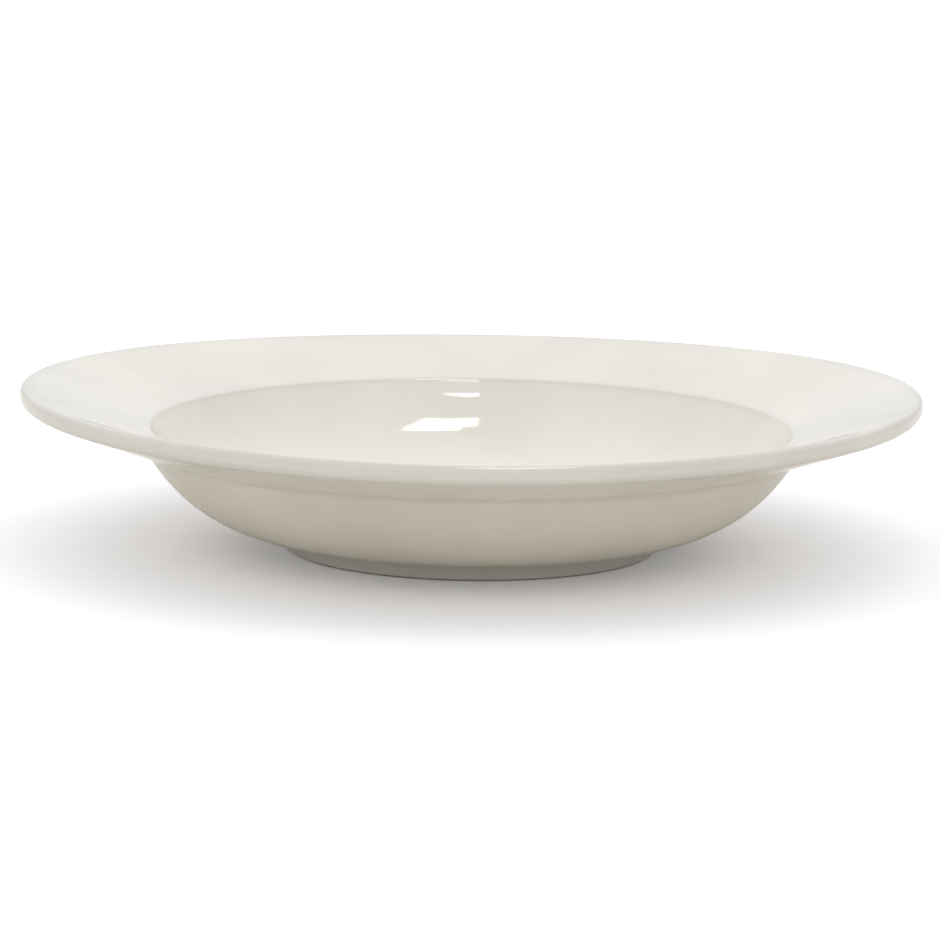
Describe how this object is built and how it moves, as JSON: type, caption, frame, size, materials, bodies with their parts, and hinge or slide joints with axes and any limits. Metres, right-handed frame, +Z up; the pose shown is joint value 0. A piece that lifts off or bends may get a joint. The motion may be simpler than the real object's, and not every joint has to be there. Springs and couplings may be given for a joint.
{
  "type": "deep plate",
  "caption": "Round deep plate with a wide rim that slopes up to a rounded lip, a bowl-shaped well for soup or pasta, and a low foot ring to stand on.",
  "frame": {"origin": "on the plate's axis, level with the ring that it stands on", "axes": "+Z up along the axis of revolution; +X and +Y lie level, in any direction round the plate"},
  "size_m": [0.25, 0.25, 0.0442],
  "materials": {
    "clay": "bare fired stoneware, matt, wiped clean of glaze",
    "glaze": "glossy ivory glaze"
  },
  "bodies": {
    "root": {"clay_body": "clay", "glaze_coat": "glaze", "base_glaze": "glaze"}
  },
  "joints": []
}
